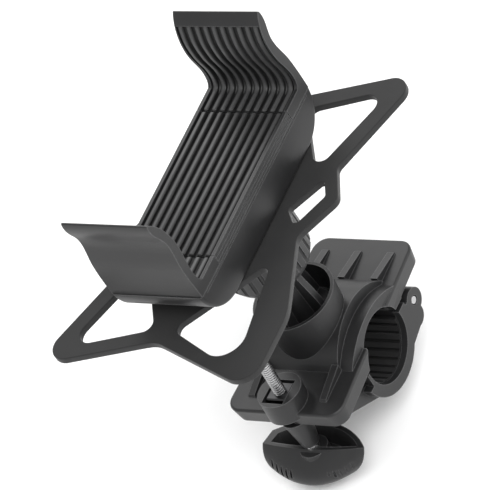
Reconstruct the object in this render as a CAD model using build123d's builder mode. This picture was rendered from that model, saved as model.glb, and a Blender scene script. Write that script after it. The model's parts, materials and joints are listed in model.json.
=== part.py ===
from build123d import *

import os
from math import cos, hypot, pi, radians, sin, sqrt

# Phone holder for a handlebar, in millimetres.
# X runs along the handlebar, Y along the phone clamp, Z out towards the phone.
# The origin is on the handlebar's axis, midway along the clamp.

# handlebar bore and its rubber linings
bar_radius = 11.1
lip_radius = 11.7
recess_radius = 12.7
lining_gap = 0.05
lining_half_length = 15.6
recess_half_length = 15.8
groove_depth = 0.8
groove_width = 1.5
groove_pitch_deg = 13.5

# clamp saddle: plate, arch, end rings
plate_length = 67.0
plate_near_width = 42.0
plate_far_width = 35.5
plate_corner = 5.0
plate_top = 8.8
skirt_height = 6.0
skirt_draft_deg = 9.0
skirt_wall = 2.2
plate_wall = 2.6
arch_half_width = 17.8
arch_top = 18.2
arch_foot = 8.2
arch_half_length = 13.6
ring_half_length = 18.1
ring_top = 14.2
ring_half_width = 18.4
split_height = 3.0
rib_width = 2.4
rib_rise = 2.6
far_rib_spots = (-12.0, 0.0, 12.0)
near_rib_spots = (-13.0, 13.0)

# hinge
pin_radius = 1.5
pin_y = 19.7
pin_z = -2.9
knuckle_radius = 4.0
lug_half_length = 13.2
knuckle_gap = 0.3
pin_clearance = 0.05

# gate, the lower half
gate_outer_radius = 15.5
gate_half_length = 15.0
gate_top = 1.2
ear_top = 5.4
ear_end_y = -31.0
near_hollow_end = 31.8

# clamping screw, nut and wing knob
screw_y = -29.6
screw_lean_deg = 4.0
screw_radius = 1.9
screw_top = 34.0
screw_bottom = -18.5
screw_head_radius = 3.6
screw_head_height = 3.0
screw_hole_radius = 2.5
boss_radius = 7.1
boss_top = 14.1
nut_width = 7.0
nut_height = 3.0
nut_floor = 10.6
neck_top_radius = 4.6
neck_bottom_radius = 2.9
neck_bottom = -9.0
knob_rim = -10.8
knob_bottom = -22.6
grip_slot_width = 0.8

# cup and ball post
post_y = -3.4
cup_rim_radius = 13.3
cup_foot_radius = 11.8
cup_rim = 26.9
cup_floor = 17.6
cup_wall = 1.4
ball_radius = 8.5
ball_z = 49.5
neck_radius = 4.2
fin_width = 2.2
fin_shoulder = ball_z - 10.9
fin_tip = ball_z - 7.7
post_screw_radius = 1.45

# socket, lock ring and friction cup
socket_radius = 11.9
socket_cavity = 8.56
cup_shell_inner = 8.53
cup_shell_outer = 9.3
socket_bottom = 45.0
lock_ring_bottom = 42.0
lock_ring_top = 60.0
lock_ring_radius = 14.4
lock_ring_grooves = 24

# silicone band
band_bottom = 64.0
band_thickness = 2.3
band_turn_deg = -4.35

# phone clamp
head_x = -0.7
head_y = -5.3
head_back = 66.6
head_front = 82.6
head_half_width = 16.2
head_half_length = 39.7
layer_depth = 3.6
end_round_y = 14.6
end_round_z = 11.8
shell_wall = 1.8
seam_half_span = 26.75
cover_screw_spread = 5.2
cover_screw_reach = 43.0
pad_recess = 1.7
rail_width = 1.2
floor_half_length = 34.1
jaw_gap = 0.15
tongue_half_width = 13.2
tongue_top_gap = 0.25
tongue_thickness = 3.2
tongue_end = 14.0
pinion_teeth = 10
pinion_module = 1.0
rack_width = 3.6
rack_reach = 12.5
spring_x = 11.9
spring_radius = 1.45
spring_wire = 0.35
spring_half_length = 13.0
spring_pitch = 1.3
pad_base = 0.4
pad_height = 1.4
pad_pitch = 3.0
pad_ribs = 10
pad_rib_width = 1.6
pad_skin = 1.0
jaw_height = 30.0
tip_lean = 1.0
grip_ridges = 6
grip_ridge_reach = 11.0

os.makedirs("parts", exist_ok=True)

screw_plane = Plane(
    origin=(0, screw_y, 0),
    x_dir=(1, 0, 0),
    z_dir=(0, sin(radians(screw_lean_deg)), cos(radians(screw_lean_deg))),
)
post_plane = Plane(origin=(0, post_y, 0), x_dir=(1, 0, 0), z_dir=(0, 0, 1))
post_front = Plane(origin=(0, post_y, 0), x_dir=(1, 0, 0), z_dir=(0, -1, 0))
post_side = Plane(origin=(0, post_y, 0), x_dir=(0, 1, 0), z_dir=(1, 0, 0))
post_axis = Axis((0, post_y, 0), (0, 0, 1))
head_plane = Plane(origin=(head_x, head_y, 0), x_dir=(1, 0, 0), z_dir=(0, 0, 1))
head_side = Plane(origin=(head_x, head_y, 0), x_dir=(0, 1, 0), z_dir=(1, 0, 0))
band_plane = Plane(
    origin=(head_x, head_y, band_bottom),
    x_dir=(cos(radians(band_turn_deg)), sin(radians(band_turn_deg)), 0),
    z_dir=(0, 0, 1),
)
layer_bottom = head_front - layer_depth
floor_top = head_front - pad_recess


def keep(part, name):
    """Label a finished sub-part and write its STEP file."""
    part.part.label = name
    export_step(part.part, f"parts/{name}.step")


# ---------------------------------------------------------------- clamp saddle
with BuildPart() as clamp_saddle:
    with BuildSketch(Plane.XY.offset(plate_top)):
        with BuildLine():
            FilletPolyline(
                (-plate_near_width / 2, -plate_length / 2),
                (plate_near_width / 2, -plate_length / 2),
                (plate_far_width / 2, plate_length / 2),
                (-plate_far_width / 2, plate_length / 2),
                radius=plate_corner,
                close=True,
            )
        make_face()
    extrude(amount=skirt_height, dir=(0, 0, -1), taper=skirt_draft_deg)
    top_edges = clamp_saddle.faces().sort_by(Axis.Z)[-1].edges()
    fillet(top_edges, 0.8)
    # hollows under both ends of the plate
    hollow_width = plate_far_width - 2 * skirt_wall
    with BuildSketch(Plane.XY.offset(plate_top - plate_wall)):
        with Locations((0, -(arch_half_width + near_hollow_end) / 2)):
            RectangleRounded(hollow_width, near_hollow_end - arch_half_width, 2.0)
        with Locations((0, pin_y + knuckle_radius + 4)):
            RectangleRounded(hollow_width - 3, 6.0, 2.0)
    extrude(amount=-skirt_height, mode=Mode.SUBTRACT)
    # low arch over the bar
    with BuildSketch(Plane.YZ):
        with BuildLine():
            arch = ThreePointArc((-arch_half_width, arch_foot), (0, arch_top), (arch_half_width, arch_foot))
            Polyline(arch @ 1, (arch_half_width, split_height), (-arch_half_width, split_height), arch @ 0)
        make_face()
    extrude(amount=arch_half_length, both=True)
    # half rings that stand out at both ends
    with BuildSketch(Plane.YZ):
        with BuildLine():
            ThreePointArc((-ring_half_width, 7.4), (0, ring_top), (ring_half_width - 0.8, 7.4))
            Polyline(
                (ring_half_width - 0.8, 7.4),
                (ring_half_width - 2.6, split_height),
                (-ring_half_width + 4.4, split_height),
                (-ring_half_width, 7.4),
            )
        make_face()
    extrude(amount=ring_half_length, both=True)
    # ribs that run from the arch out over the plate
    rib_in = arch_half_width - 1.5
    for side, spots in ((1, far_rib_spots), (-1, near_rib_spots)):
        for spot in spots:
            with BuildSketch(Plane.YZ.offset(spot)):
                with BuildLine():
                    Polyline(
                        (side * rib_in, plate_top - 0.5),
                        (side * (rib_in + 12.5), plate_top - 0.5),
                        (side * (rib_in + 11.5), plate_top + 0.7),
                        (side * rib_in, plate_top + rib_rise),
                        close=True,
                    )
                make_face()
            extrude(amount=rib_width / 2, both=True)
    # cup that surrounds the foot of the ball post
    with BuildSketch(post_front):
        with BuildLine():
            Polyline(
                (0, recess_radius + 1.2),
                (cup_foot_radius, recess_radius - 2),
                (cup_rim_radius, cup_rim),
                (cup_rim_radius - cup_wall + 0.3, cup_rim),
                (cup_foot_radius - cup_wall + 0.5, cup_floor),
                (0, cup_floor),
                close=True,
            )
        make_face()
    revolve(axis=post_axis)
    with BuildSketch(post_plane.offset(cup_floor)):
        Circle(cup_foot_radius - cup_wall + 0.5)
    extrude(amount=cup_rim - cup_floor, mode=Mode.SUBTRACT, taper=-3)
    # boss for the clamping screw
    with BuildSketch(screw_plane.offset(plate_top - plate_wall)):
        Circle(boss_radius)
    extrude(amount=boss_top - plate_top + plate_wall)
    # lug for the hinge pin
    with BuildSketch(Plane.YZ):
        with Locations((pin_y, pin_z)):
            Circle(knuckle_radius)
        with BuildLine():
            Polyline(
                (pin_y - knuckle_radius, pin_z),
                (pin_y + knuckle_radius, pin_z),
                (pin_y + knuckle_radius + 1.5, plate_top - 1),
                (pin_y - knuckle_radius, plate_top - 1),
                close=True,
            )
        make_face()
    extrude(amount=lug_half_length, both=True)
    # bore
    with BuildSketch(Plane.YZ):
        Circle(lip_radius)
    extrude(amount=2 * ring_half_length, both=True, mode=Mode.SUBTRACT)
    with BuildSketch(Plane.YZ):
        Circle(recess_radius)
    extrude(amount=recess_half_length, both=True, mode=Mode.SUBTRACT)
    # hole for the hinge pin
    with BuildSketch(Plane.YZ):
        with Locations((pin_y, pin_z)):
            Circle(pin_radius)
    extrude(amount=lug_half_length + 1, both=True, mode=Mode.SUBTRACT)
    # nut pocket and slotted screw hole, longer towards -Y so that the gate can swing
    with BuildSketch(screw_plane.offset(nut_floor)):
        with Locations((0, -0.7)):
            Rectangle(nut_width + 0.6, nut_width + 2.4)
    extrude(amount=2 * nut_height + 2, mode=Mode.SUBTRACT)
    with BuildSketch(screw_plane):
        with Locations((0, -0.5)):
            SlotOverall(2 * screw_hole_radius + 1.8, 2 * screw_hole_radius, rotation=90)
    extrude(amount=boss_top + 2, mode=Mode.SUBTRACT)
    # screw hole and counterbore for the post's fixing screw
    with BuildSketch(post_plane):
        Circle(post_screw_radius + 0.2)
    extrude(amount=cup_floor + 1, mode=Mode.SUBTRACT)
    with BuildSketch(post_plane):
        Circle(3.2)
    extrude(amount=recess_radius + 2.2, mode=Mode.SUBTRACT)
keep(clamp_saddle, "clamp_saddle")

# ---------------------------------------------------------------- linings
for half_name, side in (("upper_lining", 1), ("lower_lining", -1)):
    with BuildPart() as lining:
        with BuildSketch(Plane.YZ):
            Circle(recess_radius - lining_gap)
            Circle(bar_radius, mode=Mode.SUBTRACT)
            for step in range(-5, 6):
                turn = side * 90 + (step + 0.5 if side > 0 else step) * groove_pitch_deg
                with Locations(Rotation(0, 0, turn) * Pos(bar_radius, 0)):
                    Rectangle(2 * groove_depth, groove_width, mode=Mode.SUBTRACT)
        extrude(amount=lining_half_length, both=True)
        limit = split_height + 0.1 if side > 0 else gate_top - 0.6
        split(bisect_by=Plane.XY.offset(limit), keep=Keep.TOP if side > 0 else Keep.BOTTOM)
    keep(lining, half_name)

# ---------------------------------------------------------------- gate
# knee that joins the half ring to the hinge
knee_at = (pin_y - 2.6, pin_z - 4.4)
knee_radius = 3.6
knee_outline = (
    (8.0, gate_top), (pin_y - 3.2, gate_top - 1.4), (pin_y, pin_z), (pin_y - 1.0, pin_z - 7.4), (9.0, -12.0),
)
with BuildPart() as clamp_gate:
    with BuildSketch(Plane.YZ):
        Circle(gate_outer_radius)
        with BuildLine():
            Polyline(
                (-8.7, -12.8),
                (-28.5, 0.6),
                (ear_end_y, 2.4),
                (ear_end_y, ear_top),
                (-20.0, ear_top),
                (-18.9, gate_top),
                (0, gate_top),
                close=True,
            )
        make_face()
        with Locations(knee_at):
            Circle(knee_radius)
        with BuildLine():
            Polyline(*knee_outline, close=True)
        make_face()
        with Locations((0, gate_top + 20)):
            Rectangle(37.6, 40, mode=Mode.SUBTRACT)
    extrude(amount=gate_half_length, both=True)
    # end rings and the outer knuckles
    with BuildSketch(Plane.YZ):
        Circle(gate_outer_radius)
        with Locations((pin_y, pin_z)):
            Circle(knuckle_radius)
        with Locations(knee_at):
            Circle(knee_radius)
        with BuildLine():
            Polyline(*knee_outline, close=True)
        make_face()
        with Locations((0, gate_top + 20)):
            Rectangle(37.6, 40, mode=Mode.SUBTRACT)
        with Locations((-gate_outer_radius, 0)):
            Rectangle(5.4, 6.5, mode=Mode.SUBTRACT)
    extrude(amount=ring_half_length, both=True)
    # room for the saddle's hinge lug
    with BuildSketch(Plane.YZ):
        with Locations((pin_y, pin_z)):
            Circle(knuckle_radius + knuckle_gap)
        with Locations((pin_y + 2, pin_z + 6)):
            Rectangle(2 * knuckle_radius + 4.6, 12)
    extrude(amount=lug_half_length + knuckle_gap, both=True, mode=Mode.SUBTRACT)
    # tapered neck around the screw, under the ear
    with BuildSketch(screw_plane.offset(neck_bottom)):
        Circle(neck_bottom_radius)
    with BuildSketch(screw_plane.offset(2.2)):
        Circle(neck_top_radius)
    loft()
    # bore, pin holes and screw hole
    with BuildSketch(Plane.YZ):
        Circle(lip_radius)
    extrude(amount=2 * ring_half_length, both=True, mode=Mode.SUBTRACT)
    with BuildSketch(Plane.YZ):
        Circle(recess_radius)
    extrude(amount=recess_half_length, both=True, mode=Mode.SUBTRACT)
    with BuildSketch(Plane.YZ):
        with Locations((pin_y, pin_z)):
            Circle(pin_radius + pin_clearance)
    extrude(amount=ring_half_length + 1, both=True, mode=Mode.SUBTRACT)
    with BuildSketch(screw_plane.offset(neck_bottom - 1)):
        Circle(screw_radius + pin_clearance)
    extrude(amount=20, mode=Mode.SUBTRACT)
keep(clamp_gate, "clamp_gate")

# ---------------------------------------------------------------- hinge pin
with BuildPart() as hinge_pin:
    with BuildSketch(Plane.YZ):
        with Locations((pin_y, pin_z)):
            Circle(pin_radius)
    extrude(amount=ring_half_length - 0.2, both=True)
    chamfer(hinge_pin.edges().filter_by(GeomType.CIRCLE), 0.3)
keep(hinge_pin, "hinge_pin")

# ---------------------------------------------------------------- clamping screw
with BuildPart() as clamp_screw:
    with BuildSketch(screw_plane.offset(screw_bottom)):
        Circle(screw_radius)
    extrude(amount=screw_top - screw_bottom)
    chamfer(clamp_screw.edges().filter_by(GeomType.CIRCLE).sort_by(Axis.Z)[-1], 0.5)
    with BuildSketch(screw_plane.offset(screw_bottom)):
        RegularPolygon(screw_head_radius, 6)
    extrude(amount=screw_head_height)
keep(clamp_screw, "clamp_screw")

with BuildPart() as clamp_nut:
    with BuildSketch(screw_plane.offset(nut_floor + 0.05)):
        Rectangle(nut_width, nut_width)
        Circle(screw_radius + pin_clearance, mode=Mode.SUBTRACT)
    extrude(amount=nut_height)
    chamfer(clamp_nut.faces().sort_by(Axis.Z)[-1].outer_wire().edges(), 0.4)
keep(clamp_nut, "clamp_nut")

# ---------------------------------------------------------------- wing knob
# each section: height, left tip, left shoulder, far bulge, right tip, near bulge
knob_sections = (
    (knob_rim, (-18.2, -0.6), (-17.2, 4.6), (0, 9.4), (18.4, 0.4), (0, -1.8)),
    (knob_rim - 5.5, (-16.8, -4.4), (-15.4, 3.4), (0, 7.6), (15.8, -1.4), (0, -7.6)),
    (knob_bottom, (-6.0, -3.4), (-5.0, 0.8), (0, 2.6), (6.0, -1.4), (0, -4.8)),
)
pocket_sections = (
    (knob_rim + 0.1, (-15.6, 0.2), (-14.8, 3.6), (0, 7.9), (15.8, 0.9), (0, -0.4)),
    (knob_rim - 5.5, (-13.6, -2.6), (-12.6, 2.0), (0, 5.8), (12.6, -0.6), (0, -5.6)),
)
# each slot: place along the knob, depth of its middle, upper end, lower end
grip_slots = (
    (-14.6, -5.0, -12.2, -16.6), (-12.7, -5.9, -12.6, -18.2), (-10.8, -6.6, -13.0, -18.8),
    (-8.9, -7.1, -13.6, -18.8), (-7.0, -7.4, -14.6, -17.6),
    (6.2, -6.9, -14.8, -16.8), (8.0, -6.3, -13.8, -18.0), (9.8, -5.7, -13.0, -18.6),
    (11.6, -4.8, -12.6, -18.2), (13.4, -3.7, -12.2, -16.6),
)
with BuildPart() as wing_knob:
    for depth, left, shoulder, far, right, near in knob_sections:
        with BuildSketch(screw_plane.offset(depth)):
            with BuildLine():
                Line(left, shoulder)
                ThreePointArc(shoulder, far, right)
                ThreePointArc(right, near, left)
            make_face()
    loft()
    for depth, left, shoulder, far, right, near in pocket_sections:
        with BuildSketch(screw_plane.offset(depth)):
            with BuildLine():
                Line(left, shoulder)
                ThreePointArc(shoulder, far, right)
                ThreePointArc(right, near, left)
            make_face()
    loft(mode=Mode.SUBTRACT)
    # grip slots along the near face, in two groups
    for slot_x, slot_y, top, bottom in grip_slots:
        with BuildSketch(screw_plane.offset(bottom)):
            with Locations((slot_x, slot_y)):
                Rectangle(grip_slot_width, 1.6)
        extrude(amount=top - bottom, mode=Mode.SUBTRACT)
    with BuildSketch(screw_plane.offset(knob_rim - 6.5)):
        Circle(4.6)
    extrude(amount=6.0)
    with BuildSketch(screw_plane.offset(screw_bottom)):
        RegularPolygon(screw_head_radius, 6)
    extrude(amount=screw_head_height, mode=Mode.SUBTRACT)
    with BuildSketch(screw_plane.offset(screw_bottom)):
        Circle(screw_radius)
    extrude(amount=20, mode=Mode.SUBTRACT)
keep(wing_knob, "wing_knob")

# ---------------------------------------------------------------- ball post
with BuildPart() as ball_post:
    with BuildSketch(post_plane.offset(cup_floor)):
        Circle(9.6)
    extrude(amount=1.6)
    with BuildSketch(post_front):
        with BuildLine():
            Polyline(
                (0, cup_floor), (5.4, cup_floor), (neck_radius, ball_z - 8.0),
                (neck_radius, ball_z), (0, ball_z),
                close=True,
            )
        make_face()
    revolve(axis=post_axis)
    for turn_plane in (post_front, post_side):
        with BuildSketch(turn_plane):
            with BuildLine():
                Polyline(
                    (-10.0, cup_floor), (10.0, cup_floor), (9.0, cup_rim), (6.5, fin_shoulder),
                    (neck_radius, fin_tip), (-neck_radius, fin_tip), (-6.5, fin_shoulder), (-9.0, cup_rim),
                    close=True,
                )
            make_face()
        extrude(amount=fin_width / 2, both=True)
    with Locations((0, post_y, ball_z)):
        Sphere(ball_radius)
    with BuildSketch(post_plane.offset(cup_floor)):
        Circle(post_screw_radius)
    extrude(amount=12, mode=Mode.SUBTRACT)
keep(ball_post, "ball_post")

with BuildPart() as post_screw:
    with BuildSketch(post_plane.offset(recess_radius + 0.1)):
        Circle(2.9)
    extrude(amount=2.1)
    with BuildSketch(post_plane.offset(recess_radius + 1)):
        Circle(post_screw_radius)
    extrude(amount=15.0)
    with BuildSketch(post_plane.offset(recess_radius + 0.1)):
        Rectangle(3.4, 0.8)
        Rectangle(0.8, 3.4)
    extrude(amount=1.2, mode=Mode.SUBTRACT)
keep(post_screw, "post_screw")

# ---------------------------------------------------------------- friction cup
with BuildPart() as friction_cup:
    with BuildSketch(post_front):
        with BuildLine():
            reach = radians(45)
            inner_end = (cup_shell_inner * sin(reach), ball_z + cup_shell_inner * cos(reach))
            outer_end = (cup_shell_outer * sin(reach), ball_z + cup_shell_outer * cos(reach))
            half = reach / 2
            inner_mid = (cup_shell_inner * sin(half), ball_z + cup_shell_inner * cos(half))
            outer_mid = (cup_shell_outer * sin(half), ball_z + cup_shell_outer * cos(half))
            ThreePointArc((0, ball_z + cup_shell_inner), inner_mid, inner_end)
            Line(inner_end, outer_end)
            ThreePointArc(outer_end, outer_mid, (0, ball_z + cup_shell_outer))
            Line((0, ball_z + cup_shell_outer), (0, ball_z + cup_shell_inner))
        make_face()
    revolve(axis=post_axis)
keep(friction_cup, "friction_cup")

# ---------------------------------------------------------------- lock ring
with BuildPart() as lock_ring:
    with BuildSketch(post_front):
        with BuildLine():
            Polyline(
                (socket_radius + 0.1, lock_ring_top),
                (lock_ring_radius, lock_ring_top),
                (lock_ring_radius, lock_ring_bottom + 3),
                (lock_ring_radius - 1.6, lock_ring_bottom),
                (11.3, lock_ring_bottom),
                (socket_radius + 0.1, lock_ring_bottom + 4),
                close=True,
            )
        make_face()
    revolve(axis=post_axis)
    with BuildSketch(post_plane.offset(lock_ring_bottom - 1)):
        with PolarLocations(lock_ring_radius, lock_ring_grooves):
            Circle(0.75)
    extrude(amount=lock_ring_top - lock_ring_bottom - 1.5, mode=Mode.SUBTRACT)
keep(lock_ring, "lock_ring")

# ---------------------------------------------------------------- swivel socket
with BuildPart() as swivel_socket:
    with BuildSketch(post_plane.offset(socket_bottom)):
        Circle(socket_radius)
    extrude(amount=head_back - socket_bottom)
    chamfer(swivel_socket.faces().sort_by(Axis.Z)[0].edges(), 1.4)
    with Locations((0, post_y, ball_z)):
        Sphere(socket_cavity, mode=Mode.SUBTRACT)
    with BuildSketch(post_front):
        with BuildLine():
            cap = cup_shell_outer + 0.05
            rise = cap * cos(radians(75))
            run = cap * sin(radians(75))
            mid = (cap * sin(radians(37)), ball_z + cap * cos(radians(37)))
            ThreePointArc((0, ball_z + cap), mid, (run, ball_z + rise))
            Polyline((run, ball_z + rise), (0, ball_z + rise), (0, ball_z + cap))
        make_face()
    revolve(axis=post_axis, mode=Mode.SUBTRACT)
    with BuildSketch(post_plane.offset(socket_bottom - 1)):
        with PolarLocations(socket_radius, 6):
            Rectangle(9, 1.2)
    extrude(amount=9, mode=Mode.SUBTRACT)
keep(swivel_socket, "swivel_socket")

# ---------------------------------------------------------------- silicone band
outline = [
    ((-0.8, -46.6), 9), ((40.4, -58.3), 7), ((38.8, -31.0), 22), ((26.9, -4.0), 5),
    ((33.8, 10.6), 4), ((27.2, 21.8), 3), ((38.4, 59.8), 5.5),
    ((0.8, 46.6), 9), ((-38.0, 58.3), 7), ((-32.6, 31.0), 22), ((-26.9, 4.0), 5),
    ((-33.8, -10.6), 4), ((-27.2, -21.8), 3), ((-39.0, -60.3), 5.5),
]
windows = [
    [((4.6, 41.9), 3), ((20.2, 19.8), 3), ((30.6, 51.9), 4)],
    [((2.6, -41.6), 3), ((31.6, -52.6), 7), ((23.2, -13.8), 2)],
    [((-3.8, -42.4), 3), ((-20.2, -18.8), 3), ((-31.2, -52.6), 4)],
    [((-2.6, 41.6), 3), ((-29.2, 51.0), 6), ((-21.8, 14.4), 2)],
    [((18.4, 5.2), 2), ((24.9, 17.3), 1.2), ((28.7, 11.2), 1.5), ((23.8, -0.5), 1.5)],
    [((-18.4, -5.2), 2), ((-24.9, -17.3), 1.2), ((-28.7, -11.2), 1.5), ((-23.8, 0.5), 1.5)],
]
with BuildPart() as silicone_band:
    with BuildSketch(band_plane):
        with BuildLine():
            FilletPolyline(*[p for p, r in outline], radius=[r for p, r in outline], close=True)
        make_face()
    extrude(amount=band_thickness)
    for hole in windows:
        with BuildSketch(band_plane):
            with BuildLine():
                FilletPolyline(*[p for p, r in hole], radius=[r for p, r in hole], close=True)
            make_face()
        extrude(amount=band_thickness, mode=Mode.SUBTRACT)
    with BuildSketch(post_plane.offset(band_bottom)):
        Circle(socket_radius + 0.1)
    extrude(amount=band_thickness, mode=Mode.SUBTRACT)
keep(silicone_band, "silicone_band")

# ---------------------------------------------------------------- phone clamp shell
def boat(length, back, front, round_y, round_z):
    """Side outline of the shell: flat back, rounded ends, open front."""
    corner_y = length - round_y
    dip = sqrt(0.5)
    ThreePointArc(
        (-length, back + round_z),
        (-corner_y - round_y * dip, back + round_z - round_z * dip),
        (-corner_y, back),
    )
    Line((-corner_y, back), (corner_y, back))
    ThreePointArc(
        (corner_y, back),
        (corner_y + round_y * dip, back + round_z - round_z * dip),
        (length, back + round_z),
    )
    Polyline((length, back + round_z), (length, front), (-length, front), (-length, back + round_z))


with BuildPart() as back_shell:
    with BuildSketch(head_side):
        with BuildLine():
            boat(head_half_length, head_back, layer_bottom, end_round_y, end_round_z)
        make_face()
    extrude(amount=head_half_width, both=True)
    for last in (-1, 0):
        side_edges = back_shell.faces().sort_by(Axis.X)[last].edges()
        fillet(side_edges.filter_by(lambda e: e.center().Z < layer_bottom - 0.5), 1.2)
    with BuildSketch(head_side):
        with BuildLine():
            boat(
                head_half_length - shell_wall, head_back + shell_wall, layer_bottom + 1,
                end_round_y - shell_wall, end_round_z - shell_wall,
            )
        make_face()
    extrude(amount=head_half_width - shell_wall, both=True, mode=Mode.SUBTRACT)
    # post for the pinion
    with BuildSketch(head_plane.offset(head_back + 1)):
        Circle(3.2)
    extrude(amount=layer_bottom - 3.8 - head_back - 1)
    with BuildSketch(head_plane.offset(head_back + 1)):
        Circle(1.5)
    extrude(amount=layer_bottom - 0.4 - head_back - 1)
    # posts for the four cover screws
    with BuildSketch(head_plane.offset(head_back + 1)):
        with GridLocations(cover_screw_spread, cover_screw_reach, 2, 2):
            Circle(2.2)
    extrude(amount=layer_bottom - tongue_thickness - 1.2 - head_back - 1)
    with BuildSketch(head_plane.offset(head_back)):
        with GridLocations(cover_screw_spread, cover_screw_reach, 2, 2):
            Circle(1.1)
    extrude(amount=14, mode=Mode.SUBTRACT)
    with BuildSketch(head_plane.offset(head_back)):
        with GridLocations(cover_screw_spread, cover_screw_reach, 2, 2):
            Circle(2.0)
    extrude(amount=1.0, mode=Mode.SUBTRACT)
    # finger ridges across the rounded -Y end
    with BuildSketch(head_side):
        for step in range(grip_ridges):
            turn = radians(24 + 9 * step)
            with Locations((
                -(head_half_length - end_round_y + end_round_y * sin(turn)),
                head_back + end_round_z - end_round_z * cos(turn),
            )):
                Circle(0.45)
    extrude(amount=grip_ridge_reach, both=True, mode=Mode.SUBTRACT)
    # fine grooves along both sides, below the split
    for side in (-1, 1):
        with BuildSketch(head_plane.offset(layer_bottom - 0.9)):
            with Locations((side * head_half_width, 0)):
                Rectangle(0.6, 2 * head_half_length - 6)
        extrude(amount=0.5, mode=Mode.SUBTRACT)
keep(back_shell, "back_shell")

with BuildPart() as shell_screws:
    with BuildSketch(head_plane.offset(head_back + 0.1)):
        with GridLocations(cover_screw_spread, cover_screw_reach, 2, 2):
            Circle(1.8)
    extrude(amount=0.9)
    with BuildSketch(head_plane.offset(head_back + 0.2)):
        with GridLocations(cover_screw_spread, cover_screw_reach, 2, 2):
            Circle(1.0)
    extrude(amount=layer_bottom + 1.2 - head_back - 0.2)
keep(shell_screws, "shell_screws")

# ---------------------------------------------------------------- front cover between the seams
with BuildPart() as front_cover:
    with BuildSketch(head_plane.offset(layer_bottom)):
        Rectangle(2 * head_half_width, 2 * seam_half_span)
    extrude(amount=layer_depth)
    with BuildSketch(head_plane.offset(floor_top)):
        Rectangle(2 * (head_half_width - rail_width), 2 * seam_half_span + 1)
    extrude(amount=pad_recess, mode=Mode.SUBTRACT)
    # bosses that reach down to the shell's screw posts, between the sliding arms
    with BuildSketch(head_plane.offset(layer_bottom)):
        with GridLocations(cover_screw_spread, cover_screw_reach, 2, 2):
            Circle(2.0)
    extrude(amount=-tongue_thickness - 1.2)
    with BuildSketch(head_plane.offset(layer_bottom - 6)):
        with GridLocations(cover_screw_spread, cover_screw_reach, 2, 2):
            Circle(1.0)
    extrude(amount=7.2, mode=Mode.SUBTRACT)
    for side in (-1, 1):
        for level in (1.1, 2.3):
            with BuildSketch(head_plane.offset(head_front - level)):
                with Locations((side * head_half_width, 0)):
                    Rectangle(0.5, 2 * seam_half_span + 1)
            extrude(amount=-0.4, mode=Mode.SUBTRACT)
keep(front_cover, "front_cover")

# ---------------------------------------------------------------- centre pad
with BuildPart() as centre_pad:
    with BuildSketch(head_plane.offset(floor_top)):
        Rectangle(pad_pitch * pad_ribs - 0.2, 2 * seam_half_span - 0.4)
    extrude(amount=pad_base)
    with BuildSketch(head_plane.offset(floor_top)):
        with GridLocations(pad_pitch, 1, pad_ribs, 1):
            Rectangle(pad_rib_width, 2 * seam_half_span - 0.4)
    extrude(amount=pad_height)
keep(centre_pad, "centre_pad")

# ---------------------------------------------------------------- sliding jaws
# outlines across the jaw: distance out from the end of the floor, height above the floor
inner_face = [
    (0.0, 0.0), (1.5, 0.7), (2.4, 3.0), (2.4, 7.0), (1.2, 13.5), (1.3, 20.0), (3.0, 25.6), (5.7, 29.4),
]
outer_face = [(5.4, 23.5), (4.3, 20.4), (4.1, 16.6), (5.0, 10.9), (5.3, 5.3), (5.2, 0.0)]
pad_face = inner_face[:-1]


def sink(points, depth):
    """The same outline moved square to itself, into the wall of the jaw."""
    moved = []
    for before, here, after in zip(points[:1] + points[:-1], points, points[1:] + points[-1:]):
        run, rise = after[0] - before[0], after[1] - before[1]
        length = hypot(run, rise)
        moved.append((here[0] + depth * rise / length, here[1] - depth * run / length))
    return moved


def tooth_row(x_pitch_line, out, count, first_y):
    """Straight rack teeth that point along X towards the pinion."""
    for index in range(count):
        with Locations((x_pitch_line, first_y + index * pi * pinion_module)):
            Trapezoid(1.5, 1.7, 76, rotation=-90 * out)


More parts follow.
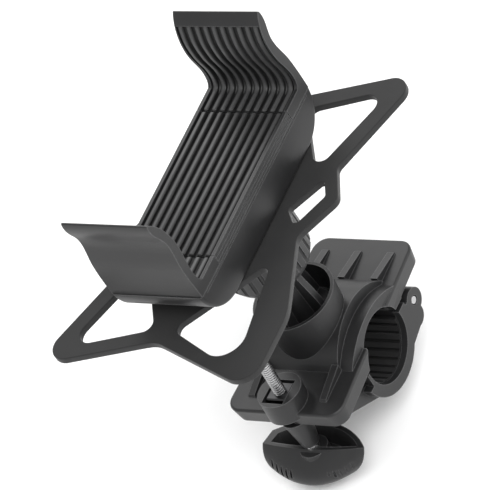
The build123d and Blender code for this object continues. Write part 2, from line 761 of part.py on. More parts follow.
for jaw_name, end in (("upper_jaw", 1), ("lower_jaw", -1)):
    side_plane = Plane(origin=(head_x, head_y, head_front - 0.3), x_dir=(0, end, 0), z_dir=(end, 0, 0))
    face_plane = Plane(origin=(head_x, head_y, layer_bottom), x_dir=(end, 0, 0), z_dir=(0, 0, 1))
    tip_plane = Plane(
        origin=(head_x, head_y + end * 30, head_front + 0.2), x_dir=(end, 0, 0), z_dir=(0, -end, 0),
    )
    with BuildPart() as jaw:
        # front layer outside the seam
        with BuildSketch(face_plane):
            with Locations((0, (seam_half_span + jaw_gap + floor_half_length + 5.2) / 2)):
                Rectangle(2 * head_half_width, floor_half_length + 5.2 - seam_half_span - jaw_gap)
        extrude(amount=layer_depth)
        with BuildSketch(face_plane.offset(layer_depth - pad_recess)):
            with Locations((0, (seam_half_span - 1 + floor_half_length + 0.6) / 2)):
                Rectangle(2 * (head_half_width - rail_width), floor_half_length + 0.6 - seam_half_span + 1)
        extrude(amount=pad_recess + 1, mode=Mode.SUBTRACT)
        # upright, wavy wall
        with BuildSketch(side_plane):
            with BuildLine():
                wave = Spline(*[(floor_half_length + a, b) for a, b in inner_face])
                lip = Line(wave @ 1, (floor_half_length + 6.1, 29.0))
                back = Spline(lip @ 1, *[(floor_half_length + a, b) for a, b in outer_face])
                Polyline(back @ 1, (floor_half_length + 5.2, -2.0), (floor_half_length, -2.0), wave @ 0)
            make_face()
        extrude(amount=head_half_width, both=True)
        # both sides lean in towards the tip
        for side in (-1, 1):
            with BuildSketch(tip_plane):
                with BuildLine():
                    Polyline(
                        (side * head_half_width, 0),
                        (side * (head_half_width - tip_lean), jaw_height),
                        (side * (head_half_width + 1), jaw_height),
                        (side * (head_half_width + 1), 0),
                        close=True,
                    )
                make_face()
            extrude(amount=-20, mode=Mode.SUBTRACT)
        # recess for the rubber skin
        with BuildSketch(side_plane):
            with BuildLine():
                open_side = Spline(*[(floor_half_length + a, b) for a, b in sink(pad_face, -1.0)])
                sunk = Spline(*[(floor_half_length + a, b) for a, b in sink(pad_face, pad_skin)])
                Line(open_side @ 0, sunk @ 0)
                Line(open_side @ 1, sunk @ 1)
            make_face()
        extrude(amount=head_half_width - rail_width, both=True, mode=Mode.SUBTRACT)
        with BuildSketch(face_plane.offset(layer_depth - pad_recess)):
            with Locations((0, floor_half_length)):
                Rectangle(2 * (head_half_width - rail_width), 0.9)
        extrude(amount=pad_height, mode=Mode.SUBTRACT)
        # tongue and rack arm under the front cover
        with BuildSketch(face_plane.offset(-tongue_top_gap)):
            with Locations((0, (tongue_end + seam_half_span + 2.1) / 2)):
                Rectangle(2 * tongue_half_width, seam_half_span + 2.1 - tongue_end)
            with Locations((0, (tongue_end + seam_half_span) / 2)):
                Rectangle(11.4, seam_half_span - tongue_end + 1, mode=Mode.SUBTRACT)
            with Locations((-5.9 - rack_width / 2, (tongue_end + 1 - rack_reach) / 2)):
                Rectangle(rack_width, tongue_end + 1 + rack_reach)
            tooth_row(-5.2, 1, 8, -rack_reach + 1.9 - 0.5 * pi * pinion_module)
        extrude(amount=-tongue_thickness)
        with BuildSketch(face_plane):
            with Locations((0, seam_half_span + 1.2)):
                Rectangle(2 * tongue_half_width, 1.8)
        extrude(amount=-tongue_top_gap - 0.5)
    keep(jaw, jaw_name)
    with BuildPart() as jaw_pad:
        with BuildSketch(side_plane):
            with BuildLine():
                wave = Spline(*[(floor_half_length + a, b) for a, b in pad_face])
                sunk = Spline(*[(floor_half_length + a, b) for a, b in sink(pad_face, pad_skin - 0.05)])
                Line(wave @ 0, sunk @ 0)
                Line(wave @ 1, sunk @ 1)
            make_face()
        extrude(amount=pad_pitch * pad_ribs / 2 - 0.1, both=True)
        with BuildSketch(face_plane.offset(layer_depth - pad_recess)):
            with Locations((0, (seam_half_span + 0.4 + floor_half_length + 0.4) / 2)):
                Rectangle(pad_pitch * pad_ribs - 0.2, floor_half_length - seam_half_span)
        extrude(amount=pad_height)
    keep(jaw_pad, f"{jaw_name}_pad")

# ---------------------------------------------------------------- pinion that couples the jaws
with BuildPart() as sync_pinion:
    with BuildSketch(head_plane.offset(layer_bottom - tongue_top_gap - 0.1)):
        Circle(pinion_teeth * pinion_module / 2 - 1.2)
        with PolarLocations(pinion_teeth * pinion_module / 2 - 0.2, pinion_teeth, start_angle=18):
            Trapezoid(1.15, 2.2, 78, rotation=-90)
        Circle(1.55, mode=Mode.SUBTRACT)
    extrude(amount=-tongue_thickness + 0.2)
keep(sync_pinion, "sync_pinion")

# ---------------------------------------------------------------- return springs
with BuildPart() as jaw_springs:
    for side in (-1, 1):
        start = (head_x + side * spring_x, head_y - spring_half_length, layer_bottom - 2.0)
        with BuildLine():
            coil = Helix(
                pitch=spring_pitch, height=2 * spring_half_length, radius=spring_radius,
                center=start, direction=(0, 1, 0),
            )
        with BuildSketch(Plane(origin=coil @ 0, z_dir=coil % 0)):
            Circle(spring_wire)
        sweep(path=coil, is_frenet=True)
keep(jaw_springs, "jaw_springs")
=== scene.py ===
import json
import math

import bpy
from mathutils import Matrix, Vector


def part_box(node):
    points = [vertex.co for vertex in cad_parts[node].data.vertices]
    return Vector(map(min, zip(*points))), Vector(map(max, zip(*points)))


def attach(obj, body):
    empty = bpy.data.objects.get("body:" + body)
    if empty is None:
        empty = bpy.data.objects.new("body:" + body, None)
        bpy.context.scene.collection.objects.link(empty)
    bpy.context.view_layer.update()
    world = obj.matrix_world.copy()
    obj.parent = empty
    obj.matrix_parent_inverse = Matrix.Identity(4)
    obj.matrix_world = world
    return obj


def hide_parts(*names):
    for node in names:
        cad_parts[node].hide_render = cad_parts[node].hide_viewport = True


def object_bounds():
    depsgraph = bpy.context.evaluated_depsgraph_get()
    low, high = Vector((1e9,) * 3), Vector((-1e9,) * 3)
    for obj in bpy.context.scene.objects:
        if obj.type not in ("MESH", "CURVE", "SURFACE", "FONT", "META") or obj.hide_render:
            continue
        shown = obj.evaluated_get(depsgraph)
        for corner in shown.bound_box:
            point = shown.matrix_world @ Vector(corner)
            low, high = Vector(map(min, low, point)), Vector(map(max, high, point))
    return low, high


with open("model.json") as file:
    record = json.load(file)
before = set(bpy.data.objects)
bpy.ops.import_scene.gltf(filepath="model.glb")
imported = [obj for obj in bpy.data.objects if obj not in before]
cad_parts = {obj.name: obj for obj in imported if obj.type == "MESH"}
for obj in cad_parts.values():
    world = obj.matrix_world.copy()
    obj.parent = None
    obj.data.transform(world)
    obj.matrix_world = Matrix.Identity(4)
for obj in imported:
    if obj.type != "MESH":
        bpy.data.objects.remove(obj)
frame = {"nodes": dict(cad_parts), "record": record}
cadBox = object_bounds()
print("frame loaded,", len(frame["nodes"]), "nodes")

mm = 0.001
nodeBody = {node: body for body, nodes in frame["record"]["behaviour"]["bodies"].items() for node in nodes}
nodeSlot = {part["node"]: part["material_slot"] for part in frame["record"]["subparts"]}


# shader maths: a socket that can be added, taken away and multiplied
class Wire:
    def __init__(self, tree, socket=None):
        self.tree = tree
        self.socket = socket

    def make(self, kind, settings=None, values=None, out=0):
        node = self.tree.nodes.new(kind)
        for key, value in (settings or {}).items():
            if key == "stops":
                ends = node.color_ramp.elements
                ends[0].position, ends[0].color = value[0][0], (*[value[0][1]] * 3, 1)
                ends[1].position, ends[1].color = value[-1][0], (*[value[-1][1]] * 3, 1)
                for place, shade in value[1:-1]:
                    ends.new(place).color = (*[shade] * 3, 1)
            else:
                setattr(node, key, value)
        for key, value in (values or {}).items():
            if isinstance(value, Wire):
                self.tree.links.new(value.socket, node.inputs[key])
            else:
                node.inputs[key].default_value = value
        return Wire(self.tree, node.outputs[out] if node.outputs else None)

    def calc(self, operation, first, second):
        return self.make("ShaderNodeMath", {"operation": operation}, {0: first, 1: second})

    def __add__(self, other):
        return self.calc("ADD", self, other)

    def __radd__(self, other):
        return self.calc("ADD", other, self)

    def __sub__(self, other):
        return self.calc("SUBTRACT", self, other)

    def __rsub__(self, other):
        return self.calc("SUBTRACT", other, self)

    def __mul__(self, other):
        return self.calc("MULTIPLY", self, other)

    def __rmul__(self, other):
        return self.calc("MULTIPLY", other, self)


def openMaterial(name):
    material = bpy.data.materials.new(name)
    material.use_nodes = True
    tree = material.node_tree
    tree.nodes.clear()
    return material, Wire(tree)


def closeMaterial(start, values):
    shader = start.make("ShaderNodeBsdfPrincipled", None, values)
    start.make("ShaderNodeOutputMaterial", None, {"Surface": shader})


def grain(start, scale, detail, roughness=0.5):
    # noise in the object's own metres
    place = start.make("ShaderNodeTexCoord", out=3)
    return start.make("ShaderNodeTexNoise", None, {
        "Vector": place, "Scale": scale, "Detail": detail, "Roughness": roughness,
    })


def paintedEdgeHighlight(start, reach, stops):
    # 1 where a rounded normal leaves the face's own, which is along the edges: the mask of a painted
    # highlight there
    rounded = start.make("ShaderNodeBevel", {"samples": 6}, {"Radius": reach})
    flat = start.make("ShaderNodeNewGeometry", out=1)
    match = start.make("ShaderNodeVectorMath", {"operation": "DOT_PRODUCT"}, {0: rounded, 1: flat}, out=1)
    return start.make("ShaderNodeValToRGB", {"stops": stops}, {0: 1.0 - match})


def mouldedPlastic(name, look):
    # black nylon: fine spark-eroded grain, slow colour drift, a few dull rub marks and a painted highlight
    # along the edges
    material, start = openMaterial(name)
    fine = grain(start, look["grainScale"], 3.0)
    slow = grain(start, 55.0, 4.0, 0.6)
    rubs = start.make("ShaderNodeValToRGB", {"stops": look["rubStops"]}, {0: grain(start, 420.0, 6.0, 0.75)})
    tint = start.make("ShaderNodeMix", {"data_type": "RGBA"}, {
        0: slow, 6: (*look["dark"], 1), 7: (*look["light"], 1),
    }, out=2)
    rubbed = start.make("ShaderNodeMix", {"data_type": "RGBA"}, {
        0: rubs * look["rubAmount"], 6: tint, 7: (*look["rub"], 1),
    }, out=2)
    # painted highlight: the edges are lightened towards a pale grey, standing in for the light that rounded
    # edges catch
    edgeHighlightMask = paintedEdgeHighlight(start, look["edgeReach"], look["edgeStops"])
    edged = start.make("ShaderNodeMix", {"data_type": "RGBA"}, {
        0: edgeHighlightMask * (look["edgeAmount"] + (slow - 0.5) * 0.5), 6: rubbed, 7: (*look["edge"], 1),
    }, out=2)
    relief = start.make("ShaderNodeBump", None, {
        "Strength": look["bump"], "Distance": look["grainDepth"], "Height": fine,
    })
    closeMaterial(start, {
        "Base Color": edged,
        "Roughness": look["roughness"] + (slow - 0.5) * 0.16 + rubs * 0.06,
        "Normal": relief,
        "Specular IOR Level": look["specular"],
    })
    return material


def ribShade(start, look):
    # 1 on the crest of each rib and 0 in the grooves: the mask of painted light on the crests and painted
    # shade in the grooves
    place = start.make("ShaderNodeTexCoord", out=3)
    across = start.make("ShaderNodeSeparateXYZ", None, {0: place})
    turn = (across - look["ribFrom"]) * (2 * math.pi / look["ribPitch"])
    wave = start.make("ShaderNodeMath", {"operation": "COSINE"}, {0: turn})
    return start.make("ShaderNodeValToRGB", {"stops": look["crestStops"]}, {0: wave * 0.5 + 0.5})


def rubber(name, look):
    # soft rubber: dull, slightly powdery in slow patches, with fine pores, and on the ribbed pads painted
    # light on the rib crests with painted shade in the grooves
    material, start = openMaterial(name)
    pores = start.make("ShaderNodeTexVoronoi", None, {
        "Vector": start.make("ShaderNodeTexCoord", out=3), "Scale": look["poreScale"],
    })
    slow = grain(start, 140.0, 5.0, 0.65)
    dust = start.make("ShaderNodeValToRGB", {"stops": look["dustStops"]}, {0: slow})
    tint = start.make("ShaderNodeMix", {"data_type": "RGBA"}, {
        0: dust * look["dustAmount"], 6: (*look["base"], 1), 7: (*look["dust"], 1),
    }, out=2)
    # painted light: the rib crests are lightened and the grooves kept dark as painted shade
    if "crest" in look:
        tint = start.make("ShaderNodeMix", {"data_type": "RGBA"}, {
            0: ribShade(start, look) * look["crestAmount"], 6: tint, 7: (*look["crest"], 1),
        }, out=2)
    relief = start.make("ShaderNodeBump", None, {
        "Strength": look["bump"], "Distance": look["poreDepth"], "Height": pores + slow * 0.6,
    })
    closeMaterial(start, {
        "Base Color": tint,
        "Roughness": look["roughness"] + dust * 0.08,
        "Normal": relief,
        "Specular IOR Level": look["specular"],
        "Sheen Weight": look["sheen"],
        "Sheen Roughness": 0.5,
    })
    return material


turningLines = {"scale": (350.0, 350.0, 4200.0), "bump": 0.25, "depth": 0.00003}


def zincSteel(name, look):
    # bright zinc plate: fine turning lines round the axis and cloudy patches
    material, start = openMaterial(name)
    place = start.make("ShaderNodeTexCoord", out=3)
    stretched = start.make("ShaderNodeMapping", None, {"Vector": place, "Scale": turningLines["scale"]})
    lines = start.make("ShaderNodeTexNoise", None, {"Vector": stretched, "Scale": 1.0, "Detail": 2.0})
    cloud = grain(start, 260.0, 4.0)
    tint = start.make("ShaderNodeMix", {"data_type": "RGBA"}, {
        0: cloud, 6: (*look["dark"], 1), 7: (*look["light"], 1),
    }, out=2)
    relief = start.make("ShaderNodeBump", None, {
        "Strength": turningLines["bump"], "Distance": turningLines["depth"], "Height": lines,
    })
    closeMaterial(start, {
        "Base Color": tint,
        "Metallic": 1.0,
        "Roughness": look["roughness"] + (cloud - 0.5) * 0.2 + (lines - 0.5) * 0.1,
        "Normal": relief,
    })
    return material


nylonLook = {
    "dark": (0.0085, 0.0085, 0.009), "light": (0.017, 0.017, 0.0175), "rub": (0.036, 0.036, 0.037),
    "rubStops": [(0.60, 0.0), (0.74, 1.0)], "rubAmount": 0.35, "grainScale": 3200.0, "grainDepth": 0.00005,
    # edge is the colour of the painted highlight along the edges
    "bump": 0.35, "roughness": 0.44, "specular": 0.42, "edge": (0.12, 0.12, 0.122), "edgeAmount": 0.7,
    "edgeReach": 0.0006, "edgeStops": [(0.04, 0.0), (0.22, 1.0)],
}
shellLook = dict(nylonLook, dark=(0.0075, 0.0075, 0.0079), light=(0.0145, 0.0145, 0.0149), grainScale=4200.0,
                 bump=0.22, roughness=0.42)
liningLook = {
    "base": (0.006, 0.006, 0.0063), "dust": (0.015, 0.015, 0.015), "dustAmount": 0.5, "poreScale": 2600.0,
    "bump": 0.3, "roughness": 0.62, "specular": 0.35, "sheen": 0.05,
    "dustStops": [(0.42, 0.0), (0.68, 1.0)], "poreDepth": 0.00004,
}
padLook = dict(
    liningLook, base=(0.003, 0.003, 0.0031), dust=(0.007, 0.007, 0.007),
    roughness=0.45, specular=0.45, sheen=0.04,
    # crest is the colour of the painted light on the rib tops
    crest=(0.052, 0.052, 0.053), crestAmount=0.8, ribFrom=0.0008, ribPitch=0.003,
    crestStops=[(0.5, 0.0), (0.97, 1.0)],
)
bandLook = dict(liningLook, base=(0.0085, 0.0085, 0.0088), dust=(0.014, 0.014, 0.014), poreScale=3400.0,
                roughness=0.66, specular=0.3, sheen=0.16, bump=0.18)
blackSteelLook = {"dark": (0.03, 0.03, 0.031), "light": (0.07, 0.07, 0.072), "roughness": 0.36}
steelLook = {"dark": (0.36, 0.36, 0.365), "light": (0.60, 0.60, 0.605), "roughness": 0.24}

materials = {
    "nylon_black": mouldedPlastic("nylonBlack", nylonLook),
    "shell_black": mouldedPlastic("shellBlack", shellLook),
    "lining_rubber": rubber("liningRubber", liningLook),
    "pad_rubber": rubber("padRubber", padLook),
    "band_silicone": rubber("bandSilicone", bandLook),
    "bright_steel": zincSteel("brightSteel", steelLook),
    "black_steel": zincSteel("blackSteel", blackSteelLook),
}
print("materials made")


def deselectAll():
    if bpy.context.object and bpy.context.object.mode != "OBJECT":
        bpy.ops.object.mode_set(mode="OBJECT")
    bpy.ops.object.select_all(action="DESELECT")


def pick(piece):
    deselectAll()
    piece.select_set(True)
    bpy.context.view_layer.objects.active = piece


def editMode(kind="FACE"):
    bpy.ops.object.mode_set(mode="EDIT")
    bpy.ops.mesh.select_mode(type=kind)


def objectMode():
    bpy.ops.object.mode_set(mode="OBJECT")


def addModifier(piece, kind, settings):
    pick(piece)
    modifier = piece.modifiers.new(kind.title(), kind)
    for key, value in settings.items():
        setattr(modifier, key, value)
    bpy.ops.object.modifier_apply(modifier=modifier.name)


def settle(piece):
    pick(piece)
    bpy.ops.object.transform_apply(location=True, rotation=True, scale=True)


mergeGap = 0.000002


def tidyMesh(piece, smoothAngle=32.0):
    pick(piece)
    editMode("VERT")
    bpy.ops.mesh.select_all(action="SELECT")
    bpy.ops.mesh.remove_doubles(threshold=mergeGap)
    bpy.ops.mesh.normals_make_consistent(inside=False)
    objectMode()
    bpy.ops.object.shade_smooth_by_angle(angle=math.radians(smoothAngle))


def standFor(piece, node):
    # the piece takes the node's body, slot and finish, and the node is hidden
    piece.data.materials.clear()
    piece.data.materials.append(materials[nodeSlot[node]])
    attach(piece, nodeBody[node])
    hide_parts(node)


def softenedCopy(node, look):
    # a copy of the node, with its flat faces merged and its edges rounded
    piece = bpy.data.objects.new(look["name"], frame["nodes"][node].data.copy())
    bpy.context.scene.collection.objects.link(piece)
    pick(piece)
    editMode("VERT")
    bpy.ops.mesh.customdata_custom_splitnormals_clear()
    bpy.ops.mesh.select_all(action="SELECT")
    bpy.ops.mesh.remove_doubles(threshold=look["mergeGap"])
    bpy.ops.mesh.dissolve_limited(angle_limit=math.radians(look["flat"]))
    objectMode()
    addModifier(piece, "BEVEL", {
        "width": look["round"], "segments": look["segments"], "limit_method": "ANGLE",
        "angle_limit": math.radians(look["angle"]), "use_clamp_overlap": True, "harden_normals": False,
        "miter_outer": "MITER_ARC",
    })
    bpy.ops.object.shade_smooth_by_angle(angle=math.radians(look["smooth"]))
    addModifier(piece, "WEIGHTED_NORMAL", {"keep_sharp": True})
    return piece


# moulded pieces: the CAD shapes with softened edges
mouldedPieces = {
    "clamp_saddle": {"name": "clampSaddleMoulding", "round": 0.00035},
    "clamp_gate": {"name": "clampGateMoulding", "round": 0.00035},
    "wing_knob": {"name": "wingKnobMoulding", "round": 0.00035},
    "ball_post": {"name": "ballPostMoulding", "round": 0.0002},
    "lock_ring": {"name": "lockRingMoulding", "round": 0.0002},
    "swivel_socket": {"name": "swivelSocketMoulding", "round": 0.0002},
    "back_shell": {"name": "backShellMoulding", "round": 0.0003},
    "front_cover": {"name": "frontCoverMoulding", "round": 0.0001},
    "upper_jaw": {"name": "upperJawMoulding", "round": 0.0003},
    "lower_jaw": {"name": "lowerJawMoulding", "round": 0.0003},
    "silicone_band": {"name": "siliconeBandMoulding", "round": 0.0006},
}
edgeLook = {"segments": 2, "angle": 32.0, "smooth": 34.0, "flat": 0.6, "mergeGap": 0.000004}
for node, look in mouldedPieces.items():
    standFor(softenedCopy(node, {**edgeLook, **look}), node)
print("mouldings softened")

# small hard nodes keep their CAD mesh and take their finish
for node, thing in frame["nodes"].items():
    thing.data.materials.clear()
    thing.data.materials.append(materials[nodeSlot[node]])
print("finishes set")

# ribbed rubber, from a strip that is extruded along a path and ribbed by cuts
padRubber = {
    "ribs": 10, "pitch": 0.003, "ribWidth": 0.0017, "ribHeight": 0.0010, "wall": 0.0004, "round": 0.00045,
    "faceHeight": 0.0003, "edgeGap": 0.0002, "seamGap": 0.0004, "pathSteps": 4,
}
headX, headY = -0.0007, -0.0053  # middle of the phone clamp
seam, floorEnd = 0.02675, 0.0341  # from the middle to the seam and to the foot of the jaw
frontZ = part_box("front_cover")[1].z
# the jaw's inner face: millimetres out from its foot and up from the floor
waveFace = [(0.0, 0.0), (1.5, 0.7), (2.4, 3.0), (2.4, 7.0), (1.2, 13.5), (1.3, 20.0), (3.0, 25.6)]


def smoothPath(points, steps):
    # Catmull-Rom curve through the points
    ends = [points[0], *points, points[-1]]
    path = []
    for before, here, there, after in zip(ends, ends[1:], ends[2:], ends[3:]):
        for step in range(steps):
            t = step / steps
            path.append(tuple(
                0.5 * (2 * h + (n - b) * t + (2 * b - 5 * h + 4 * n - a) * t ** 2
                       + (3 * h - b - 3 * n + a) * t ** 3)
                for b, h, n, a in zip(before, here, there, after)
            ))
    path.append(tuple(points[-1]))
    return path


def edgeAcross(name, middle, width, y, z):
    # one edge along X, from a plane that loses its other half
    deselectAll()
    bpy.ops.mesh.primitive_plane_add(size=1.0, location=(0, 0, 0))
    piece = bpy.context.object
    piece.name = name
    editMode("VERT")
    bpy.ops.mesh.select_all(action="DESELECT")
    objectMode()
    for vertex in piece.data.vertices:
        vertex.select = vertex.co.y > 0
    editMode("VERT")
    bpy.ops.mesh.delete(type="VERT")
    bpy.ops.mesh.select_all(action="SELECT")
    bpy.ops.transform.resize(value=(width, 1, 1))
    bpy.ops.transform.translate(value=(middle, 0.5 + y, z))
    return piece


def stripAlong(name, path, width, out):
    # path holds (y, z) places
    piece = edgeAcross(name, headX, width, *path[0])
    for before, here in zip(path, path[1:]):
        bpy.ops.mesh.extrude_region_move(
            TRANSFORM_OT_translate={"value": (0, here[0] - before[0], here[1] - before[1])}
        )
    objectMode()
    if out < 0:
        editMode("FACE")
        bpy.ops.mesh.select_all(action="SELECT")
        bpy.ops.mesh.flip_normals()
        objectMode()
    return piece


def ribStrip(piece, look):
    # cut the strip lengthwise, raise every other lane and round the ribs
    pick(piece)
    editMode("FACE")
    first = headX - look["pitch"] * (look["ribs"] - 1) / 2
    lanes = [first + look["pitch"] * index for index in range(look["ribs"])]
    for lane in lanes:
        for side in (-0.5, 0.5):
            bpy.ops.mesh.select_all(action="SELECT")
            bpy.ops.mesh.bisect(plane_co=(lane + side * look["ribWidth"], 0, 0), plane_no=(1, 0, 0))
    bpy.ops.mesh.select_all(action="DESELECT")
    objectMode()
    for face in piece.data.polygons:
        face.select = any(abs(face.center.x - lane) < look["ribWidth"] / 2 for lane in lanes)
    editMode("FACE")
    bpy.ops.mesh.extrude_region_shrink_fatten(
        MESH_OT_extrude_region={}, TRANSFORM_OT_shrink_fatten={"value": look["ribHeight"]}
    )
    objectMode()
    addModifier(piece, "BEVEL", {
        "width": look["round"], "segments": 3, "limit_method": "ANGLE", "angle_limit": math.radians(50),
        "use_clamp_overlap": True,
    })
    addModifier(piece, "SOLIDIFY", {"thickness": look["wall"], "offset": -1.0})
    tidyMesh(piece, 50.0)
    return piece


def ribbedPad(name, node, path, out):
    width = padRubber["pitch"] * padRubber["ribs"] - padRubber["edgeGap"]
    piece = ribStrip(stripAlong(name, path, width, out), padRubber)
    standFor(piece, node)
    return piece


baseZ = frontZ - padRubber["faceHeight"] - padRubber["ribHeight"]
padReach = seam - padRubber["edgeGap"]
ribbedPad("centrePadRubber", "centre_pad", [(headY - padReach, baseZ), (headY + padReach, baseZ)], 1)
for node, end in (("upper_jaw_pad", 1), ("lower_jaw_pad", -1)):
    wave = smoothPath(waveFace, padRubber["pathSteps"])
    path = [((seam + padRubber["seamGap"]) / mm, 0.0)] + [(floorEnd / mm + a, b) for a, b in wave]
    # the strip runs one rib height behind the wavy face, in millimetres
    depth = padRubber["ribHeight"] / mm
    moved = []
    for before, here, after in zip(path[:1] + path[:-1], path, path[1:] + path[-1:]):
        run, rise = after[0] - before[0], after[1] - before[1]
        length = math.hypot(run, rise)
        moved.append((here[0] + depth * rise / length, here[1] - depth * run / length))
    places = [(headY + end * a * mm, frontZ - padRubber["faceHeight"] + b * mm) for a, b in moved]
    ribbedPad(node.replace("_", "") + "Rubber", node, places, end)
print("pads ribbed")

# bore linings, bent round the bar and ribbed along it
liningRubber = {
    "outer": 0.0126, "crest": 0.0112, "half": 0.0156, "pitchDeg": 13.5, "wall": 0.0003, "round": 0.0003,
}


def boreLining(name, look, middleDeg, reachDeg, shift):
    # an arc of strips, half a rib's pitch each, and every other one is raised
    start, step = math.radians(middleDeg - reachDeg), math.radians(look["pitchDeg"] / 2)
    rim = look["outer"]
    piece = edgeAcross(name, 0, 2 * look["half"], rim * math.cos(start), rim * math.sin(start))
    for index in range(round(2 * reachDeg / (look["pitchDeg"] / 2))):
        before = step * index + start
        after = before + step
        bpy.ops.mesh.extrude_region_move(TRANSFORM_OT_translate={"value": (
            0, rim * (math.cos(after) - math.cos(before)), rim * (math.sin(after) - math.sin(before)),
        )})
    objectMode()
    tidyMesh(piece)
    # the faces look at the axis
    inward = sum(f.normal.dot(Vector((0, f.center.y, f.center.z))) for f in piece.data.polygons)
    if inward > 0:
        editMode("FACE")
        bpy.ops.mesh.select_all(action="SELECT")
        bpy.ops.mesh.flip_normals()
        objectMode()
    for face in piece.data.polygons:
        angle = math.degrees(math.atan2(face.center.z, face.center.y)) - middleDeg
        place = ((angle + 180) % 360 - 180) / look["pitchDeg"] + shift
        face.select = abs(place - round(place)) < 0.25
    editMode("FACE")
    bpy.ops.mesh.extrude_region_shrink_fatten(
        MESH_OT_extrude_region={}, TRANSFORM_OT_shrink_fatten={"value": look["outer"] - look["crest"]}
    )
    objectMode()
    addModifier(piece, "BEVEL", {
        "width": look["round"], "segments": 2, "limit_method": "ANGLE", "angle_limit": math.radians(50),
        "use_clamp_overlap": True,
    })
    addModifier(piece, "SOLIDIFY", {"thickness": look["wall"], "offset": -1.0})
    tidyMesh(piece, 50.0)
    return piece


# each lining's middle and reach in degrees, and the ribs' shift in pitches
for name, node, middle, reach, shift in (
    ("upperLiningRubber", "upper_lining", 90, 74.25, 0.0),
    ("lowerLiningRubber", "lower_lining", -90, 81.0, 0.5),
):
    standFor(boreLining(name, liningRubber, middle, reach, shift), node)
print("linings ribbed")

# threaded clamping screw: a thread wound round a leaning axis
screwThread = {
    "crest": 0.0019, "root": 0.0015, "pitch": 0.0008, "low": -0.0155, "high": 0.0336,
    "lean": -4.0, "y": -0.0296, "steps": 28, "endRound": 0.0003,
    "headHigh": -0.0155, "headLow": -0.0185, "headRadius": 0.0036,
}


def threadedScrew(look):
    # one thread's outline, then the screw modifier winds it up the shaft
    deselectAll()
    bpy.ops.mesh.primitive_plane_add(size=1.0, location=(0, 0, 0))
    piece = bpy.context.object
    piece.name = "clampScrewThread"
    editMode("VERT")
    bpy.ops.mesh.select_all(action="DESELECT")
    objectMode()
    for vertex in piece.data.vertices:
        vertex.select = vertex.index > 0
    editMode("VERT")
    bpy.ops.mesh.delete(type="VERT")
    bpy.ops.mesh.select_all(action="SELECT")
    bpy.ops.transform.translate(value=(0.5 + look["root"], 0.5, look["low"]))
    rise, step = look["crest"] - look["root"], look["pitch"] / 4
    for move in ((rise, 0, step * 1.2), (0, 0, step * 0.6), (-rise, 0, step * 1.2), (0, 0, step)):
        bpy.ops.mesh.extrude_region_move(TRANSFORM_OT_translate={"value": move})
    objectMode()
    turns = int((look["high"] - look["low"]) / look["pitch"])
    addModifier(piece, "SCREW", {
        "angle": 2 * math.pi, "screw_offset": look["pitch"], "iterations": turns, "steps": look["steps"],
        "render_steps": look["steps"], "use_merge_vertices": True, "merge_threshold": 0.000001, "axis": "Z",
    })
    tidyMesh(piece, 40.0)
    # a core with a rounded end fills the thread, and a hexagon head closes its foot
    bpy.ops.mesh.primitive_cylinder_add(
        vertices=look["steps"], radius=look["root"] * 1.02, depth=look["high"] - look["low"],
        location=(0, 0, (look["high"] + look["low"]) / 2),
    )
    core = bpy.context.object
    bpy.ops.mesh.primitive_cylinder_add(
        vertices=6, radius=look["headRadius"], depth=look["headHigh"] - look["headLow"],
        location=(0, 0, (look["headHigh"] + look["headLow"]) / 2),
    )
    head = bpy.context.object
    for part in (core, head):
        addModifier(part, "BEVEL", {"width": look["endRound"], "segments": 2, "limit_method": "ANGLE"})
    deselectAll()
    for part in (core, head, piece):
        part.select_set(True)
    bpy.context.view_layer.objects.active = piece
    bpy.ops.object.join()
    # the screw leans with the boss
    piece.rotation_euler = (math.radians(look["lean"]), 0, 0)
    piece.location = (0, look["y"], 0)
    settle(piece)
    bpy.ops.object.shade_smooth_by_angle(angle=math.radians(40))
    return piece


standFor(threadedScrew(screwThread), "clamp_screw")
print("screw threaded")

view = {
    "azimuth": 49.715, "elevation": 40.012, "roll": -34.865, "distance": 1.4, "lens": 341.5,
    "sensor": 36.0, "target": (-0.00326, -0.00270, 0.050),
}


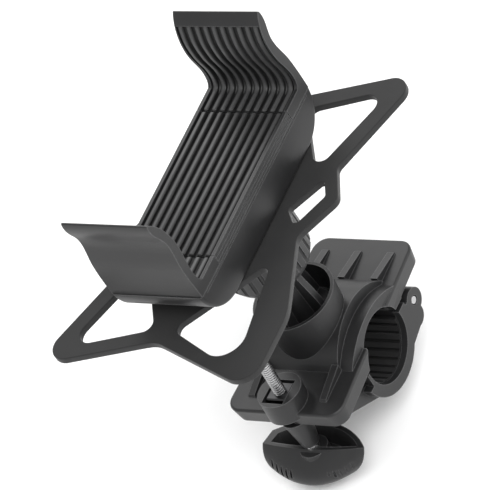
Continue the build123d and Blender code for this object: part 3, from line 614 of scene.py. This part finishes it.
def cameraAxes(look):
    side, rise = math.radians(look["azimuth"]), math.radians(look["elevation"])
    back = Vector((math.sin(side) * math.cos(rise), -math.cos(side) * math.cos(rise), math.sin(rise)))
    right = Vector((0, 0, 1)).cross(back).normalized()
    up = back.cross(right)
    turn = math.radians(look["roll"])
    return right * math.cos(turn) + up * math.sin(turn), up * math.cos(turn) - right * math.sin(turn), back


right, up, back = cameraAxes(view)
bpy.ops.object.camera_add()
camera = bpy.context.object
camera.name = "studioCamera"
camera.data.sensor_width = view["sensor"]
camera.data.lens = view["lens"]
camera.data.clip_end = 20.0
place = Vector(view["target"]) + back * view["distance"]
camera.matrix_world = Matrix((
    (right.x, up.x, back.x, place.x),
    (right.y, up.y, back.y, place.y),
    (right.z, up.z, back.z, place.z),
    (0, 0, 0, 1),
))
bpy.context.scene.camera = camera

floorLook = {"size": 6.0, "gap": 0.002, "shade": (0.93, 0.93, 0.93)}
deselectAll()
bpy.ops.mesh.primitive_plane_add(size=floorLook["size"], location=(0, 0, cadBox[0][2] - floorLook["gap"]))
floor = bpy.context.object
floor.name = "studioFloor"
settle(floor)
floorMaterial, start = openMaterial("paleFloor")
closeMaterial(start, {"Base Color": (*floorLook["shade"], 1), "Roughness": 0.9})
floor.data.materials.append(floorMaterial)

lampTarget = (0, 0, 0.05)
lamps = {
    "keyLamp": {"from": (0.75, -0.50, 1.25), "size": 0.9, "power": 15.0},
    "fillLamp": {"from": (1.2, 0.35, 0.7), "size": 1.0, "power": 7.0},
    "rimLamp": {"from": (-0.7, 0.9, 0.9), "size": 0.8, "power": 6.0},
}
for name, look in lamps.items():
    deselectAll()
    spot = Vector(look["from"])
    aim = (Vector(lampTarget) - spot).to_track_quat("-Z", "Y").to_euler()
    bpy.ops.object.light_add(type="AREA", location=spot, rotation=aim)
    lamp = bpy.context.object
    lamp.name = name
    lamp.data.size = look["size"]
    lamp.data.energy = look["power"]

roomLight = {"shade": (1, 1, 1, 1), "strength": 0.85}
world = bpy.data.worlds.new("softRoom")
bpy.context.scene.world = world
world.use_nodes = True
background = world.node_tree.nodes["Background"]
background.inputs["Color"].default_value = roomLight["shade"]
background.inputs["Strength"].default_value = roomLight["strength"]
bpy.context.scene.view_settings.view_transform = "Standard"
print("stage set")
